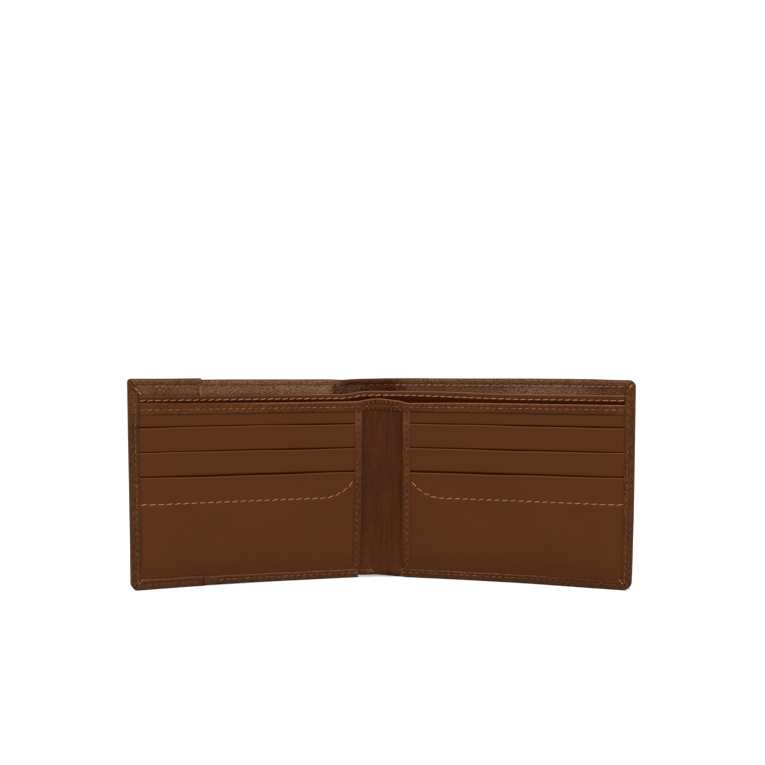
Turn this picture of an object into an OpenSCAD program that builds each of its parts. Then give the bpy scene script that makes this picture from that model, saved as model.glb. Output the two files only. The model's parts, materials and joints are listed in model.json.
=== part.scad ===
// Bifold wallet standing half open on its bottom edge, inside facing -Y.
// A soft spine joins two wings, and each wing turns about a vertical crease line.
// Millimetres, +Z up. The origin is at the middle of the footprint, on the surface it stands on.

/* [Overall] */
// Height of the wallet
wallet_h = 90; // [86:0.5:100]
// Length of each wing, from its crease line to its outer edge
wing_len = 105; // [95:0.5:115]
// Width of the spine, from one crease line to the other
spine_w = 17; // [15:0.5:24]
// How far each wing is folded forward from flat
rest_angle = 19; // [10:0.5:30]
// Radius of the outer corners
corner_r = 2.6; // [1.6:0.1:5]

/* [Leather] */
// Thickness of the exterior leather
shell_t = 1; // [0.8:0.1:1.4]
// Extra thickness of the end panel over the exterior leather
end_panel_proud = 0.3; // [0.2:0.1:0.6]
// Thickness of the bonded board inside each wing
board_t = 0.5; // [0.3:0.1:0.8]
// Thickness of the lining leather
lining_t = 0.4; // [0.3:0.1:0.6]
// Thickness of the bill divider
divider_t = 0.6; // [0.4:0.1:0.8]
// Thickness of the inner panel, the card panels and the pockets
pocket_t = 0.5; // [0.4:0.05:0.6]
// Thickness of the turned border, the top band and the edge strips
border_t = 0.6; // [0.4:0.1:0.8]
// Clear space on each side of the bill divider
bill_gap = 0.3; // [0.2:0.1:0.6]

/* [Card pockets] */
// Drop from the top of the wallet to the top of the bill divider
divider_drop = 7; // [5:0.5:9]
// Drop from the top of the wallet to the top of the band
band_drop = 10; // [9:0.5:12]
// Width of the band along the top of the inner panel
band_w = 4.8; // [3:0.2:6]
// Drop from the top of the band to the first pocket mouth
first_mouth_drop = 10.5; // [9:0.5:12]
// Drop from one pocket mouth to the next
mouth_pitch = 10.75; // [9:0.25:11]
// Depth of a card pocket below its mouth
pocket_depth = 45; // [38:1:46]
// Width of the edge strip beside the spine
strip_w = 3.3; // [2.5:0.1:5]

/* [Border] */
// Width of the turned border on the outer edge of each wing
side_border_w = 4.2; // [4:0.1:8]
// Width of the turned border on the bottom edge
bottom_border_w = 3.8; // [3:0.1:6]
// Width of the turned border on the bottom edge of the end panel
end_border_w = 4.5; // [3:0.1:6]
// Width of the hem along the top edge
hem_w = 2.4; // [2:0.1:4]
// Width of the end panel, from the outer edge of the left wing
end_panel_w = 31.5; // [25:0.5:45]

/* [Stitching] */
// Width of a seam's thread
thread_w = 0.5; // [0.3:0.05:0.8]
// Height of the thread above the leather
thread_t = 0.15; // [0.1:0.01:0.25]
// Distance from the bottom edge to its seam
bottom_seam = 2.4; // [1.8:0.1:3]
// Distance from the outer edge of a wing to its seam
side_seam = 2.6; // [2:0.1:4]
// Distance from the top edge to the seam through the lining
hem_seam_drop = 2.9; // [2.5:0.1:4]
// Distance from the top of the divider to its seam
divider_seam_drop = 1.9; // [1.2:0.1:3]
// Distance from the top of the band to its seam
band_seam_drop = 2.8; // [2:0.1:3.5]
// Height of the accent seam above the bottom edge
accent_h = 36.7; // [30:0.1:42]
// Rise of the accent seam where it sweeps up towards the spine
accent_rise = 6.4; // [4:0.1:8]

/* [Hidden] */
$fn = 64;

// Depths are counted from the crease line: positive towards the inside of the wallet.
board_front = board_t;
lining_front = board_front + lining_t;
hem_front = lining_front + border_t;
divider_back = lining_front + bill_gap;
divider_front = divider_back + divider_t;
inner_back = divider_front + bill_gap;
inner_front = inner_back + pocket_t;
card_back = inner_front + 0.1;
card_front = card_back + pocket_t;
pocket_back = [for (i = [0:2]) card_front + i * pocket_t];
pockets_front = card_front + 3 * pocket_t;
border_front = pockets_front + border_t;
end_panel_back = -shell_t - end_panel_proud;

// Distances along a wing are counted from its crease line.
crease_gap = 0.3;
inner_start = 2.4;
lining_start = 1;
wall = 0.8;
fit = 0.05;
end_start = wing_len - end_panel_w;
lap = 6;
layer_end = wing_len - wall - fit;
pocket_start = inner_start + border_t;

// Heights
layer_bottom = wall;
hem_top = wallet_h - wall;
divider_top = wallet_h - divider_drop;
band_top = wallet_h - band_drop;
band_bottom = band_top - band_w;
mouths = [for (i = [0:2]) band_top - first_mouth_drop - i * mouth_pitch];
end_panel_top = wallet_h + 2 * end_panel_proud;
hem_seam = wallet_h - hem_seam_drop;
divider_seam = divider_top - divider_seam_drop;
band_seam = band_top - band_seam_drop;

// The spine bows back in an arc that meets both wings in line with them.
spine_r = spine_w / 2 / sin(rest_angle);
spine_bow = spine_r * (1 - cos(rest_angle));
inner_arc = rest_angle - 4;
pleats = 7;
pleat_steps = 8;
pleat_depth = 0.3;

// The crease lines sit so that the footprint is centred on the origin.
hinge_x = spine_w / 2;
reach = wing_len * sin(rest_angle) + (border_front + thread_t) * cos(rest_angle);
hinge_y = (reach - spine_bow - shell_t) / 2;

// ---------- placing ----------

module on_right_wing() translate([hinge_x, hinge_y, 0]) rotate([0, 0, -rest_angle]) children();
module on_left_wing() mirror([1, 0, 0]) on_right_wing() children();
module on_spine() translate([0, hinge_y - spine_r * cos(rest_angle), 0]) children();

// A flat outline given a thickness: x runs along the wing, y is height, and the depths say where.
module layer(back, front)
  translate([0, -back, 0]) rotate([90, 0, 0]) linear_extrude(front - back) children();

// ---------- outlines ----------

module field(x0, x1, z0, z1) translate([x0, z0]) square([x1 - x0, z1 - z0]);

// A rectangle whose two corners on the outer edge are rounded.
module rounded_field(x0, x1, z0, z1, r) {
  field(x0, x1 - r, z0, z1);
  field(x0, x1, z0 + r, z1 - r);
  for (z = [z0 + r, z1 - r]) translate([x1 - r, z]) circle(r);
}

module wing_outline(x0, top) rounded_field(x0, wing_len, 0, top, corner_r);

// The leather that closes the wing's edges, seen from the front.
module wing_rim(x0, top) difference() {
  wing_outline(x0, top);
  rounded_field(x0 - 1, wing_len - wall, wall, top - wall, corner_r - wall);
}

// What fits inside the turned edges.
module inner_outline(x0, top) rounded_field(x0, layer_end, layer_bottom, top, corner_r - wall);

// ---------- wing pieces ----------

// Leather turned round the outer, bottom and top edges, with its border and its hem.
module turned_edges(x0, top, border_w) {
  layer(0, hem_front) wing_rim(x0, top);
  layer(lining_front, hem_front) intersection() {
    wing_outline(x0, top);
    field(x0, wing_len, wallet_h - hem_w, top);
  }
  layer(0, border_front) difference() {
    wing_rim(x0, top);
    field(x0 - 1, wing_len - side_border_w, wall + 1, top + 1);
  }
  layer(pockets_front, border_front) intersection() {
    wing_outline(x0, top);
    union() {
      field(x0, wing_len, 0, border_w);
      field(wing_len - side_border_w, wing_len, 0, top);
    }
  }
}

module whole_shell() {
  layer(-shell_t, 0) wing_outline(crease_gap, wallet_h);
  turned_edges(inner_start, wallet_h, bottom_border_w);
}

// The shell stops at the end panel, apart from a thin tongue that the end panel is sewn over.
module lapped_shell() {
  difference() {
    whole_shell();
    layer(-shell_t - 1, border_front + 1) field(end_start, wing_len + 1, -1, wallet_h + 1);
  }
  layer(-shell_t / 2, 0) field(end_start - 1, end_start + lap, wall, hem_top);
}

module end_panel() {
  difference() {
    layer(end_panel_back, 0) wing_outline(end_start, end_panel_top);
    layer(-shell_t / 2, 1) field(end_start - 1, end_start + lap, wall, hem_top);
  }
  turned_edges(end_start, end_panel_top, end_border_w);
}

module board() layer(0, board_front) inner_outline(inner_start, hem_top - fit);

module lining(x0) layer(board_front, lining_front) inner_outline(x0, hem_top - fit);

module divider() layer(divider_back, divider_front) inner_outline(inner_start, divider_top);

module inner_panel() layer(inner_back, inner_front) inner_outline(inner_start, band_top - border_t);

module card_panel() layer(card_back, card_front) inner_outline(pocket_start, band_top - border_t);

// Pocket 0 is the top one. A pocket reaches down as far as a card does, or to the bottom border.
module card_pocket(i) {
  bottom = max(layer_bottom, mouths[i] - pocket_depth);
  layer(pocket_back[i], pocket_back[i] + pocket_t)
    rounded_field(pocket_start, layer_end, bottom, mouths[i], corner_r - wall);
}

// The band is folded over the top edge of the inner panel and the card panel.
module band() {
  layer(card_front, card_front + border_t) field(inner_start, layer_end, band_bottom, band_top);
  layer(inner_back, card_front) field(inner_start, layer_end, band_top - border_t, band_top);
}

// The strip binds the spine-side edges of the card panel and its pockets.
module edge_strip() {
  layer(pockets_front, border_front)
    field(inner_start, inner_start + strip_w, bottom_border_w, band_bottom);
  layer(card_back, border_front)
    field(inner_start, inner_start + border_t - fit, bottom_border_w, band_bottom);
}

// ---------- stitching ----------

module seam_line(x0, x1, z) field(x0, x1, z - thread_w / 2, z + thread_w / 2);

module upright_seam(x, z0, z1) field(x - thread_w / 2, x + thread_w / 2, z0, z1);

module border_seam() {
  seam_line(inner_start + 1, wing_len - side_seam, bottom_seam);
  upright_seam(wing_len - side_seam, bottom_seam - thread_w / 2, divider_top + 3);
}

module border_thread_front() layer(border_front, border_front + thread_t) border_seam();

module border_thread_back(from, to, back) layer(back - thread_t, back) intersection() {
  border_seam();
  field(from, to, 0, wallet_h);
}

module hem_thread() layer(lining_front, lining_front + thread_t)
  seam_line(inner_start + 0.5, wing_len - side_border_w - 1, hem_seam);

module divider_thread() layer(divider_front, divider_front + thread_t)
  seam_line(inner_start + 0.5, layer_end - side_border_w, divider_seam);

module band_thread() layer(card_front + border_t, card_front + border_t + thread_t)
  seam_line(inner_start + 0.5, layer_end - side_border_w - 1, band_seam);

module strip_thread() layer(border_front, border_front + thread_t)
  upright_seam(inner_start + strip_w - 1.4, bottom_border_w + 0.5, band_bottom - 0.5);

// The accent seam runs level, then sweeps up in an arc that ends beside the edge strip.
accent_start = wing_len - side_border_w - 0.5;
accent_end = inner_start + strip_w + 0.8;
accent_sweep = 50;
accent_steps = 10;
accent_r = accent_rise / (1 - cos(accent_sweep));
accent_turn = accent_end + accent_r * sin(accent_sweep);

// One side of the sweep, as points from the level run to its end.
function accent_side(r) = [
  for (i = [0:accent_steps]) let (turn = accent_sweep * i / accent_steps)
    [accent_turn - r * sin(turn), accent_h + accent_r - r * cos(turn)]
];

function reversed(points) = [for (i = [len(points) - 1:-1:0]) points[i]];

module accent_thread() layer(pockets_front, pockets_front + thread_t) polygon(concat(
  [[accent_start, accent_h - thread_w / 2]],
  accent_side(accent_r + thread_w / 2),
  reversed(accent_side(accent_r - thread_w / 2)),
  [[accent_start, accent_h + thread_w / 2]]
));

module end_panel_thread() layer(end_panel_back - thread_t, end_panel_back)
  upright_seam(end_start + lap / 2, bottom_seam + 1, wallet_h - bottom_seam);

// ---------- spine pieces ----------

// A curved strip of the spine between two depths, half_arc degrees to each side of the middle.
module spine_layer(back, front, half_arc, z0, z1) on_spine() translate([0, 0, z0])
  linear_extrude(z1 - z0) intersection() {
    difference() {
      circle(spine_r - back, $fn = 180);
      circle(spine_r - front, $fn = 180);
    }
    far = spine_r * 2;
    polygon([[0, 0], [far * tan(half_arc), far], [-far * tan(half_arc), far]]);
  }

spine_lining_front = lining_t;
spine_hem_front = spine_lining_front + 0.3;
spine_divider_back = spine_lining_front + bill_gap;
spine_divider_front = spine_divider_back + divider_t;
spine_inner_back = spine_divider_front + 0.15;
spine_inner_front = spine_inner_back + pocket_t;
spine_band_front = spine_inner_front + 0.3;
hinge_arc = rest_angle - crease_gap / spine_r * 180 / PI;

function on_arc(depth, turn) = [(spine_r - depth) * sin(turn), (spine_r - depth) * cos(turn)];

// The spine's part of the band, gathered into small pleats on its front.
module pleated_band() on_spine() translate([0, 0, band_bottom]) linear_extrude(band_w) {
  turns = [for (i = [0:pleats * pleat_steps]) inner_arc * (2 * i / (pleats * pleat_steps) - 1)];
  wave = [for (i = [0:pleats * pleat_steps]) pleat_depth / 2 * (1 - cos(360 * i / pleat_steps))];
  polygon(concat(
    [for (turn = turns) on_arc(spine_inner_front, turn)],
    reversed([for (i = [0:len(turns) - 1]) on_arc(spine_band_front + wave[i], turns[i])])
  ));
}

module spine_seam(front, z)
  spine_layer(front, front + thread_t, inner_arc - 1, z - thread_w / 2, z + thread_w / 2);

// ---------- nodes ----------

outer_colour = [0.35, 0.20, 0.11];
pocket_colour = [0.37, 0.21, 0.11];
lining_colour = [0.42, 0.30, 0.22];
board_colour = [0.55, 0.47, 0.38];
thread_colour = [0.72, 0.50, 0.33];

module left_shell() color(outer_colour) on_left_wing() lapped_shell();
module left_end_panel() color(outer_colour) on_left_wing() end_panel();
module left_board() color(board_colour) on_left_wing() board();
module left_lining() color(lining_colour) on_left_wing() intersection() {
  lining(lining_start);
  layer(0, hem_front) field(0, end_start - fit, 0, wallet_h);
}
module left_end_lining() color(lining_colour) on_left_wing() lining(end_start);
module left_divider() color(lining_colour) on_left_wing() divider();
module left_inner_panel() color(pocket_colour) on_left_wing() inner_panel();
module left_card_panel() color(pocket_colour) on_left_wing() card_panel();
module left_pocket_1() color(pocket_colour) on_left_wing() card_pocket(0);
module left_pocket_2() color(pocket_colour) on_left_wing() card_pocket(1);
module left_pocket_3() color(pocket_colour) on_left_wing() card_pocket(2);
module left_band() color(outer_colour) on_left_wing() band();
module left_edge_strip() color(outer_colour) on_left_wing() edge_strip();
module left_border_thread() color(thread_colour) on_left_wing() {
  border_thread_front();
  border_thread_back(0, end_start - 0.5, -shell_t);
  border_thread_back(end_start + 0.5, wing_len, end_panel_back);
}
module left_hem_thread() color(thread_colour) on_left_wing() hem_thread();
module left_divider_thread() color(thread_colour) on_left_wing() divider_thread();
module left_band_thread() color(thread_colour) on_left_wing() band_thread();
module left_strip_thread() color(thread_colour) on_left_wing() strip_thread();
module left_accent_thread() color(thread_colour) on_left_wing() accent_thread();
module left_end_panel_thread() color(thread_colour) on_left_wing() end_panel_thread();

module spine_shell() color(outer_colour) {
  spine_layer(-shell_t, 0, hinge_arc, 0, wallet_h);
  spine_layer(-0.1, spine_hem_front, inner_arc, hem_top, wallet_h);
  spine_layer(spine_lining_front, spine_hem_front, inner_arc, wallet_h - hem_w, wallet_h);
}
module spine_lining() color(lining_colour)
  spine_layer(0, spine_lining_front, inner_arc + 2, layer_bottom, hem_top - fit);
module spine_divider() color(lining_colour)
  spine_layer(spine_divider_back, spine_divider_front, inner_arc, layer_bottom, divider_top);
module spine_inner_panel() color(pocket_colour)
  spine_layer(spine_inner_back, spine_inner_front, inner_arc, layer_bottom, band_top);
module spine_band() color(outer_colour) pleated_band();
module spine_hem_thread() color(thread_colour) spine_seam(spine_lining_front, hem_seam);
module spine_divider_thread() color(thread_colour) spine_seam(spine_divider_front, divider_seam);
module spine_band_thread() color(thread_colour) spine_seam(spine_band_front + pleat_depth, band_seam);

module right_shell() color(outer_colour) on_right_wing() whole_shell();
module right_board() color(board_colour) on_right_wing() board();
module right_lining() color(lining_colour) on_right_wing() lining(lining_start);
module right_divider() color(lining_colour) on_right_wing() divider();
module right_inner_panel() color(pocket_colour) on_right_wing() inner_panel();
module right_card_panel() color(pocket_colour) on_right_wing() card_panel();
module right_pocket_1() color(pocket_colour) on_right_wing() card_pocket(0);
module right_pocket_2() color(pocket_colour) on_right_wing() card_pocket(1);
module right_pocket_3() color(pocket_colour) on_right_wing() card_pocket(2);
module right_band() color(outer_colour) on_right_wing() band();
module right_edge_strip() color(outer_colour) on_right_wing() edge_strip();
module right_border_thread() color(thread_colour) on_right_wing() {
  border_thread_front();
  border_thread_back(0, wing_len, -shell_t);
}
module right_hem_thread() color(thread_colour) on_right_wing() hem_thread();
module right_divider_thread() color(thread_colour) on_right_wing() divider_thread();
module right_band_thread() color(thread_colour) on_right_wing() band_thread();
module right_strip_thread() color(thread_colour) on_right_wing() strip_thread();
module right_accent_thread() color(thread_colour) on_right_wing() accent_thread();

left_shell();
left_end_panel();
left_board();
left_lining();
left_end_lining();
left_divider();
left_inner_panel();
left_card_panel();
left_pocket_1();
left_pocket_2();
left_pocket_3();
left_band();
left_edge_strip();
left_border_thread();
left_hem_thread();
left_divider_thread();
left_band_thread();
left_strip_thread();
left_accent_thread();
left_end_panel_thread();
spine_shell();
spine_lining();
spine_divider();
spine_inner_panel();
spine_band();
spine_hem_thread();
spine_divider_thread();
spine_band_thread();
right_shell();
right_board();
right_lining();
right_divider();
right_inner_panel();
right_card_panel();
right_pocket_1();
right_pocket_2();
right_pocket_3();
right_band();
right_edge_strip();
right_border_thread();
right_hem_thread();
right_divider_thread();
right_band_thread();
right_strip_thread();
right_accent_thread();
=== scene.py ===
import json
import math

import bmesh
import bpy
import numpy as np
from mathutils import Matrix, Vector


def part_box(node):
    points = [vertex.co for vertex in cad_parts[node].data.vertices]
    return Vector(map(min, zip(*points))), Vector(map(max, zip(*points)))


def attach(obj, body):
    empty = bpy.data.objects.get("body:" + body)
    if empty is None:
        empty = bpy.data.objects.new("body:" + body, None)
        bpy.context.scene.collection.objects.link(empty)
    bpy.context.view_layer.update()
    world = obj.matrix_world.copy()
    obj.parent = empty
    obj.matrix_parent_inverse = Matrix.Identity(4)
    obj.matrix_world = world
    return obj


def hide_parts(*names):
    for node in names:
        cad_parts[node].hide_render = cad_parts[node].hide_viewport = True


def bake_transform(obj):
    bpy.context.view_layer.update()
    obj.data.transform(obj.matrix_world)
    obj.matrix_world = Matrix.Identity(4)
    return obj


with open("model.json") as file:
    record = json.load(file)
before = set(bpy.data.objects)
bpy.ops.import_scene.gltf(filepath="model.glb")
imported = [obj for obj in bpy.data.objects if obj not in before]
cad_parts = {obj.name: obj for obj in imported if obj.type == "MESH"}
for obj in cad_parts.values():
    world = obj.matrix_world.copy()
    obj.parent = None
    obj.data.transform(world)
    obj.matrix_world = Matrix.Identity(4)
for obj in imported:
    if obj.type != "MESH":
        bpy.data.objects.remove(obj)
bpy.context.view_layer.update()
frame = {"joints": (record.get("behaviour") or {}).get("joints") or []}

# ---------------------------------------------------------------- measures, in millimetres
# A place on the wallet is (u, t, z). u runs along the leather from the middle of the spine, negative on
# the left. t is the depth in front of the crease lines, towards the inside. z is the height.

MM = 0.001
JOINTS = {j["name"]: j for j in frame["joints"]}
HINGE_X, HINGE_Y = (c / MM for c in JOINTS["right_crease"]["pos_m"][:2])
REST_ANGLE = -JOINTS["right_crease"]["range_deg"][0]


def height(node, end):
    """The lowest (end 0) or highest (end 1) point of a CAD node."""
    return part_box(node)[end].z / MM


SHELL_T = 1.0
WALLET_H = height("right_shell", 1)
END_TOP = height("left_end_panel", 1)
DIVIDER_TOP = height("right_divider", 1)
BAND_TOP = height("right_band", 1)
BAND_BOTTOM = height("right_band", 0)
MOUTHS = [height(f"right_pocket_{i}", 1) for i in (1, 2, 3)]
POCKET_BOTTOMS = [height(f"right_pocket_{i}", 0) for i in (1, 2, 3)]
THREAD_HALF = 0.25
ACCENT_LOW = height("right_accent_thread", 0) + THREAD_HALF
ACCENT_HIGH = height("right_accent_thread", 1)
# The folded shell's box is a little longer than the wing, because the shell has a thickness
BOX_EXTRA = 0.35
WING_LEN = (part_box("right_shell")[1].x / MM - HINGE_X) / math.cos(math.radians(REST_ANGLE)) - BOX_EXTRA
EDGE = HINGE_X + WING_LEN
END_PANEL_W = 31.5
END_START = WING_LEN - END_PANEL_W
PANEL_EDGE = HINGE_X + END_START
PANEL_SEAM = END_START + 1.5

STRIP_START = 1.9
STRIP_W = 3.3
POCKET_START = 2.7
STRIP_FROM = HINGE_X + STRIP_START
POCKET_FROM = HINGE_X + POCKET_START
LAYER_LOW = 0.9
LAYER_END = WING_LEN - 0.9
LAYER_EDGE = HINGE_X + LAYER_END
UNDER_BAND = BAND_TOP - 0.62

# Depths of the layers, back and front, in the middle of a wing and at the spine
LINING = (0.45, 0.9)
DIVIDER = (1.05, 1.65)
INNER = (2.05, 2.55)
CARD = (2.7, 3.2)
POCKETS = [(3.2, 3.7), (3.7, 4.2), (4.2, 4.7)]
STACK = 4.7
BORDER_T = 0.65
LINING_AT_SPINE = (0.05, 0.4)
DIVIDER_AT_SPINE = (0.75, 1.2)
INNER_AT_SPINE = (1.45, 1.95)

STITCH_PITCH = 2.9
PLEATS = 8
PLEAT_W = 2 * HINGE_X / PLEATS
BOTTOM_SEAM = 2.4
SIDE_SEAM = 2.6
HEM_SEAM = WALLET_H - 2.9
DIVIDER_SEAM = DIVIDER_TOP - 1.9
BAND_SEAM = BAND_TOP - 2.8
SIDE_BORDER = 4.1
BOTTOM_BORDER = 3.8
HEM = 2.4


def ramp(x, a, b):
    """Rises smoothly from 0 at a to 1 at b."""
    k = np.clip((np.asarray(x, float) - a) / (b - a), 0, 1)
    return k * k * (3 - 2 * k)


def fall(x, a, b):
    """Falls smoothly from 1 at a to 0 at b."""
    return 1 - ramp(x, a, b)


def hump(x, middle, width):
    """1 in the middle, and almost 0 from twice the width away."""
    return np.exp(-((np.asarray(x, float) - middle) / width) ** 2)


# ---------------------------------------------------------------- the bent wallet

BEND_IN = 14.0
BEND_OUT = 24.0
BEND_HALF = 11.0


def heading(u):
    """Direction of the leather in plan, in radians from +X, for increasing u."""
    s = np.abs(u) - HINGE_X
    wing = np.radians(BEND_IN + (BEND_OUT - BEND_IN) * np.clip(s / WING_LEN, 0, 1.1))
    k = np.clip(np.abs(u) / BEND_HALF, 0, 1)
    return -np.sign(u) * wing * (1.5 * k - 0.5 * k ** 3)


# The line of the leather in plan, past both ends of the wallet, as x and y for each u
PLAN_HALF = 130.0
PLAN_STEP = 0.05
PLAN_U = np.arange(-PLAN_HALF, PLAN_HALF + PLAN_STEP / 2, PLAN_STEP)
HEADINGS = heading(PLAN_U[:-1] + PLAN_STEP / 2)
PLAN_X = np.concatenate([[0], np.cumsum(np.cos(HEADINGS) * PLAN_STEP)])
PLAN_Y = np.concatenate([[0], np.cumsum(np.sin(HEADINGS) * PLAN_STEP)])
PLAN_X -= np.interp(0, PLAN_U, PLAN_X)
PLAN_Y += HINGE_Y - np.interp(HINGE_X, PLAN_U, PLAN_Y)


def gape(u, z):
    """How far the shell and its lining stand back where the bill compartment opens over the fold."""
    return 1.6 * ramp(z, 30, 88) * fall(np.abs(u + 3), 9, 23)


def ripple(u, z):
    """A slow unevenness that all the layers share."""
    slow = 0.22 * np.sin(u * 0.071 + 0.8) * np.sin(z * 0.052 + u * 0.021)
    return ramp(np.abs(u), 8, 40) * (slow + 0.1 * np.sin(u * 0.16 + z * 0.04))


def press(u, z):
    """The stack of layers is pressed thin where it is sewn, at the outer edge and along the bottom."""
    s = np.abs(u) - HINGE_X
    side = ramp(WING_LEN - s, 0, 15)
    low = ramp(z, -1, 13)
    return 0.42 + 0.58 * side * low


def depth(t, u, z):
    """Depth on a wing of what would be at t if nothing were pressed."""
    t = np.asarray(t, float)
    return np.where(t > 0, t * press(u, z), t) + ripple(u, z)


def level(spine_t, wing_t, u, z):
    """Depth of a layer that crosses the spine, where the stack is thinner."""
    k = ramp(np.abs(u), 6, 13)
    return spine_t * (1 - k) + wing_t * press(u, z) * k + ripple(u, z)


def divider_lift(u):
    """The divider stands higher over the fold."""
    u = np.asarray(u, float)
    return 1.3 * np.where(u < 0, fall(-u, 7, 19), 1 - ramp(u, 7, 65) * 0.97)


def band_lift(u):
    """The band arches up over the fold."""
    return 0.95 * hump(u, -2, 6.5)


def band_sag(u):
    """The band's top edge hangs a little between its ends."""
    u = np.asarray(u, float)
    far_left = 0.25 * ramp(-u, 62, 85) + 0.3 * ramp(-u, 90, 108)
    left = 0.3 * ramp(-u, 8, 12) + 0.12 * hump(u, -46, 20) - far_left
    right = ramp(u, 6.5, 13.5) - 0.35 * ramp(u, 12, 38) + 0.05 * ramp(u, 60, 80)
    return np.where(u < 0, left, right)


def slant(side, a, z):
    """How far the card pockets begin from their place beside the spine: they lean away at the bottom."""
    lean = 1.4 * (BAND_BOTTOM - z) / 72 - 0.6 if side == LEFT else 0.35 * fall(z, 45, 62)
    return lean * fall(a, 14, 60)


def strip_depth(t, z):
    """The edge strip lies on fewer pockets the higher it is."""
    drop = np.interp(z, [0, 47, 49, 57.5, 60, 68.5, 71, 90], [0, 0, 0.5, 0.5, 1.0, 1.0, 1.5, 1.5])
    return np.where(np.asarray(t) > CARD[0] + 0.1, np.asarray(t) - drop, t)


ACCENT_TURN = 20.2
ACCENT_R = 17.9
ACCENT_SWEEP = 53.5


def accent_path():
    """The accent seam as (distance from the crease, height): level, then sweeping up to the edge strip."""
    points = [(s, ACCENT_LOW) for s in steps(WING_LEN - SIDE_BORDER + 0.3, ACCENT_TURN, 1.0)]
    for turn in np.radians(np.linspace(0, ACCENT_SWEEP, 14)[1:]):
        rise = ACCENT_R * (1 - math.cos(turn))
        points.append((ACCENT_TURN - ACCENT_R * math.sin(turn), ACCENT_LOW + rise))
    return points


def accent_distance(s, z):
    """Distance from a place to the accent seam."""
    level_part = np.hypot(np.maximum(ACCENT_TURN - s, 0), z - ACCENT_LOW)
    from_centre = np.hypot(s - ACCENT_TURN, z - ACCENT_LOW - ACCENT_R)
    on_sweep = (s < ACCENT_TURN) & (z < ACCENT_HIGH + 1.2)
    return np.where(on_sweep, np.abs(from_centre - ACCENT_R), level_part)


def place(u, t, z):
    """Millimetres along, in front of and above, to a place in the frame in metres."""
    u, t, z = np.broadcast_arrays(np.asarray(u, float), np.asarray(t, float), np.asarray(z, float))
    lean = 0.010 * (z - WALLET_H / 2) * np.sign(u) * ramp(np.abs(u), 20, 110)
    lean = lean - np.where(u > 0, 0.15 + 0.6 * (np.clip(45 - z, 0, 45) / 45) ** 2, 0.0) * ramp(u, 60, 112)
    run = u + 0.005 * np.sign(u) * np.maximum(np.abs(u) - HINGE_X, 0)
    h = heading(run)
    x = np.interp(run, PLAN_U, PLAN_X) + t * np.sin(h) + lean
    y = np.interp(run, PLAN_U, PLAN_Y) - t * np.cos(h)
    return np.stack([x, y, z], axis=-1) * MM


# ---------------------------------------------------------------- mesh building

LEFT, RIGHT = -1, 1
NAMES = {LEFT: "left", RIGHT: "right"}


class Mesh:
    """Collects points (u, t, z), each with its mark, and faces of one piece."""

    def __init__(self):
        self.points = []
        self.faces = []

    def add(self, u, t, z, mark=0.0):
        """Adds an array of points and returns their indices in the same shape."""
        rows = np.stack(np.broadcast_arrays(u, t, z, mark), axis=-1).astype(float)
        start = sum(len(p) for p in self.points)
        self.points.append(rows.reshape(-1, 4))
        return start + np.arange(len(self.points[-1])).reshape(rows.shape[:-1])

    def quads(self, grid):
        """Faces over a grid of indices."""
        for low, high in zip(grid[:-1], grid[1:]):
            for corners in zip(low[:-1], high[:-1], high[1:], low[1:]):
                self.face(corners)

    def face(self, loop):
        """A face, unless too few of its corners are different."""
        kept = []
        for v in loop:
            if not kept or v != kept[-1]:
                kept.append(int(v))
        if len(kept) > 1 and kept[0] == kept[-1]:
            kept.pop()
        if len(set(kept)) > 2:
            self.faces.append(kept)

    def build(self, name, material):
        """The piece as an object: bent like the wallet, and with its flat coordinates kept."""
        rows = np.concatenate(self.points)
        mesh = bpy.data.meshes.new(name)
        mesh.from_pydata(place(*rows[:, :3].T).tolist(), [], self.faces)
        flat = mesh.attributes.new("flat_mm", "FLOAT_VECTOR", "POINT")
        flat.data.foreach_set("vector", rows[:, :3].astype(np.float32).ravel())
        marks = mesh.attributes.new("mark", "FLOAT", "POINT")
        marks.data.foreach_set("value", rows[:, 3].astype(np.float32))
        weld(mesh)
        mesh.polygons.foreach_set("use_smooth", [True] * len(mesh.polygons))
        mesh.set_sharp_from_angle(angle=math.radians(SHARP_DEG))
        mesh.materials.append(material)
        return linked(bpy.data.objects.new(name, mesh))


def linked(obj):
    """Puts an object into the scene."""
    bpy.context.scene.collection.objects.link(obj)
    return obj


def weld(mesh):
    """Merges points that coincide and turns the faces outwards."""
    bm = bmesh.new()
    bm.from_mesh(mesh)
    bmesh.ops.remove_doubles(bm, verts=bm.verts, dist=2e-6)
    bmesh.ops.dissolve_degenerate(bm, edges=bm.edges, dist=1e-6)
    bmesh.ops.recalc_face_normals(bm, faces=bm.faces)
    bm.to_mesh(mesh)
    bm.free()


# Where a piece that crosses a crease would begin and end its bend, as distances from the middle of the
# spine; seat makes no bend from them
LAYERS = (4.6, 10.4)
SHELL = (3.5, 13.5)


def seat(piece, side, name, material, slot, node, crossing=None, on_spine=True):
    """Builds a piece in place of its CAD node and hides the node. One that doesn't cross the crease is
    joined to its wing; one that crosses it stays where it is built, and mostly takes the place of a spine
    node too."""
    obj = piece.build(f"{NAMES[side]}_{name}", material)
    wing = f"{NAMES[side]}_wing"
    nodes = [f"{NAMES[side]}_{node}"]
    if crossing:
        start, end = ((side * a * MM, HINGE_Y * MM, WALLET_H / 2 * MM) for a in crossing)
        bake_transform(obj)
        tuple(start)
        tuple(end)
        nodes += [f"spine_{node}"] if on_spine else []
    else:
        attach(obj, wing)
    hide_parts(*nodes)


def steps(a, b, size):
    """Evenly spaced places from a to b, no further apart than size."""
    return np.linspace(a, b, max(2, int(math.ceil(abs(b - a) / size)) + 1))


ROUNDING = np.array([0.0, 0.04, 0.12, 0.24, 0.4])
SEAM_LINES = np.array([-0.9, -0.5, -0.25, 0.0, 0.25, 0.5, 0.9])
SHARP_DEG = 60


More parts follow.
